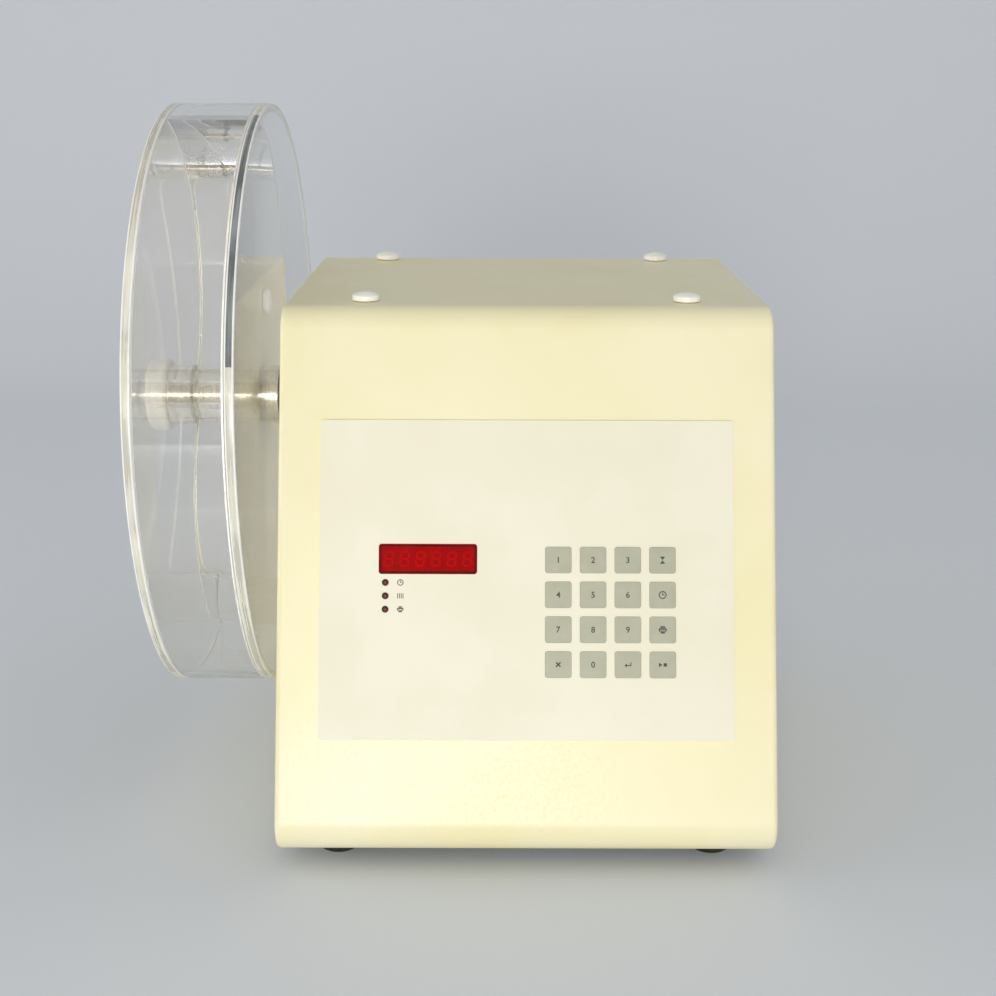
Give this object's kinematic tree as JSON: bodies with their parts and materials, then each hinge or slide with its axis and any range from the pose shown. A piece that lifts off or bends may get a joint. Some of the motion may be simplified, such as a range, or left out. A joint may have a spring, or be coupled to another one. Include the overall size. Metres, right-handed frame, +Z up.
{
  "type": "tablet friability tester",
  "caption": "Benchtop friability tester: a sloped housing with keypad and display drives a clear acrylic drum with curved baffles, held on its shaft by a clamp knob.",
  "frame": {"origin": "middle of the bounding box at the level that the feet stand on", "axes": "+Z up, -Y to the front with the keypad, -X to the drum, which turns about X"},
  "size_m": [0.3126, 0.3014, 0.3388],
  "materials": {
    "cream_enamel": "satin",
    "overlay_film": "matt",
    "grey_key": "matt",
    "red_acrylic": "gloss",
    "dark_red_lens": "gloss",
    "clear_acrylic": "gloss",
    "white_nylon": "satin",
    "black_rubber": "matt",
    "black_plastic": "matt",
    "bright_steel": "ground",
    "machined_aluminium": "satin",
    "zinc_steel": "satin",
    "core_steel": "varnished",
    "board_green": "satin"
  },
  "bodies": {
    "housing": {"housing_cover": "cream_enamel", "rear_panel": "cream_enamel", "base_plate": "zinc_steel", "foot_front_left": "black_rubber", "foot_front_right": "black_rubber", "foot_rear_left": "black_rubber", "foot_rear_right": "black_rubber", "top_plug_front_left": "white_nylon", "top_plug_front_right": "white_nylon", "top_plug_rear_left": "white_nylon", "top_plug_rear_right": "white_nylon", "side_plug_left": "white_nylon", "side_plug_right": "white_nylon", "front_overlay": "overlay_film", "display_window": "red_acrylic", "display_module": "black_plastic", "status_led_1": "dark_red_lens", "status_led_2": "dark_red_lens", "status_led_3": "dark_red_lens", "control_board": "board_green", "mains_transformer": "core_steel", "drive_bracket": "zinc_steel", "bearing_housing": "machined_aluminium", "drum_side_bearing": "bright_steel", "motor_side_bearing": "bright_steel", "gearbox": "zinc_steel", "drive_motor": "machined_aluminium", "count_sensor": "black_plastic", "power_inlet": "black_plastic", "switch_frame": "black_plastic", "printer_port": "bright_steel"},
    "spindle": {"drive_spindle": "bright_steel", "shaft_coupling": "machined_aluminium", "motor_output_shaft": "bright_steel", "count_disc": "black_plastic"},
    "drum": {"drum_rim": "clear_acrylic", "drum_back_disc": "clear_acrylic", "drum_hub": "clear_acrylic", "hub_o_ring": "black_rubber", "baffle_upper": "clear_acrylic", "baffle_lower": "clear_acrylic"},
    "drum_cover": {"drum_cover_disc": "clear_acrylic"},
    "knob": {"clamp_knob": "white_nylon"},
    "button_0": {"key_0": "grey_key"},
    "button_1": {"key_1": "grey_key"},
    "button_2": {"key_2": "grey_key"},
    "button_3": {"key_3": "grey_key"},
    "button_4": {"key_4": "grey_key"},
    "button_5": {"key_5": "grey_key"},
    "button_6": {"key_6": "grey_key"},
    "button_7": {"key_7": "grey_key"},
    "button_8": {"key_8": "grey_key"},
    "button_9": {"key_9": "grey_key"},
    "button_time_count": {"key_time_count": "grey_key"},
    "button_clock": {"key_clock": "grey_key"},
    "button_print": {"key_print": "grey_key"},
    "button_clear": {"key_clear": "grey_key"},
    "button_enter": {"key_enter": "grey_key"},
    "button_start_stop": {"key_start_stop": "grey_key"},
    "rocker": {"power_rocker": "black_plastic"}
  },
  "joints": [
    {"name": "drum_spin", "type": "hinge", "parent": "housing", "child": "spindle", "pos_m": [0, 0.00419, 0.1923], "axis": [1, 0, 0], "continuous": true},
    {"name": "drum_pull", "type": "slide", "parent": "spindle", "child": "drum", "axis": [-1, 0, 0], "range_m": [0, 0.07]},
    {"name": "cover_lift", "type": "slide", "parent": "drum", "child": "drum_cover", "axis": [-1, 0, 0], "range_m": [0, 0.045]},
    {"name": "knob_pull", "type": "slide", "parent": "drum_cover", "child": "knob", "axis": [-1, 0, 0], "range_m": [0, 0.025]},
    {"name": "press_0", "type": "slide", "parent": "housing", "child": "button_0", "axis": [0, 0.9407, -0.3391], "range_m": [0, 0.0004], "stiffness_N_per_m": 1500},
    {"name": "press_1", "type": "slide", "parent": "housing", "child": "button_1", "axis": [0, 0.9407, -0.3391], "range_m": [0, 0.0004], "stiffness_N_per_m": 1500},
    {"name": "press_2", "type": "slide", "parent": "housing", "child": "button_2", "axis": [0, 0.9407, -0.3391], "range_m": [0, 0.0004], "stiffness_N_per_m": 1500},
    {"name": "press_3", "type": "slide", "parent": "housing", "child": "button_3", "axis": [0, 0.9407, -0.3391], "range_m": [0, 0.0004], "stiffness_N_per_m": 1500},
    {"name": "press_4", "type": "slide", "parent": "housing", "child": "button_4", "axis": [0, 0.9407, -0.3391], "range_m": [0, 0.0004], "stiffness_N_per_m": 1500},
    {"name": "press_5", "type": "slide", "parent": "housing", "child": "button_5", "axis": [0, 0.9407, -0.3391], "range_m": [0, 0.0004], "stiffness_N_per_m": 1500},
    {"name": "press_6", "type": "slide", "parent": "housing", "child": "button_6", "axis": [0, 0.9407, -0.3391], "range_m": [0, 0.0004], "stiffness_N_per_m": 1500},
    {"name": "press_7", "type": "slide", "parent": "housing", "child": "button_7", "axis": [0, 0.9407, -0.3391], "range_m": [0, 0.0004], "stiffness_N_per_m": 1500},
    {"name": "press_8", "type": "slide", "parent": "housing", "child": "button_8", "axis": [0, 0.9407, -0.3391], "range_m": [0, 0.0004], "stiffness_N_per_m": 1500},
    {"name": "press_9", "type": "slide", "parent": "housing", "child": "button_9", "axis": [0, 0.9407, -0.3391], "range_m": [0, 0.0004], "stiffness_N_per_m": 1500},
    {"name": "press_time_count", "type": "slide", "parent": "housing", "child": "button_time_count", "axis": [0, 0.9407, -0.3391], "range_m": [0, 0.0004], "stiffness_N_per_m": 1500},
    {"name": "press_clock", "type": "slide", "parent": "housing", "child": "button_clock", "axis": [0, 0.9407, -0.3391], "range_m": [0, 0.0004], "stiffness_N_per_m": 1500},
    {"name": "press_print", "type": "slide", "parent": "housing", "child": "button_print", "axis": [0, 0.9407, -0.3391], "range_m": [0, 0.0004], "stiffness_N_per_m": 1500},
    {"name": "press_clear", "type": "slide", "parent": "housing", "child": "button_clear", "axis": [0, 0.9407, -0.3391], "range_m": [0, 0.0004], "stiffness_N_per_m": 1500},
    {"name": "press_enter", "type": "slide", "parent": "housing", "child": "button_enter", "axis": [0, 0.9407, -0.3391], "range_m": [0, 0.0004], "stiffness_N_per_m": 1500},
    {"name": "press_start_stop", "type": "slide", "parent": "housing", "child": "button_start_stop", "axis": [0, 0.9407, -0.3391], "range_m": [0, 0.0004], "stiffness_N_per_m": 1500},
    {"name": "power_switch", "type": "hinge", "parent": "housing", "child": "rocker", "pos_m": [0.0718, 0.11319, 0.0503], "axis": [1, 0, 0], "range_deg": [0, 20]}
  ]
}
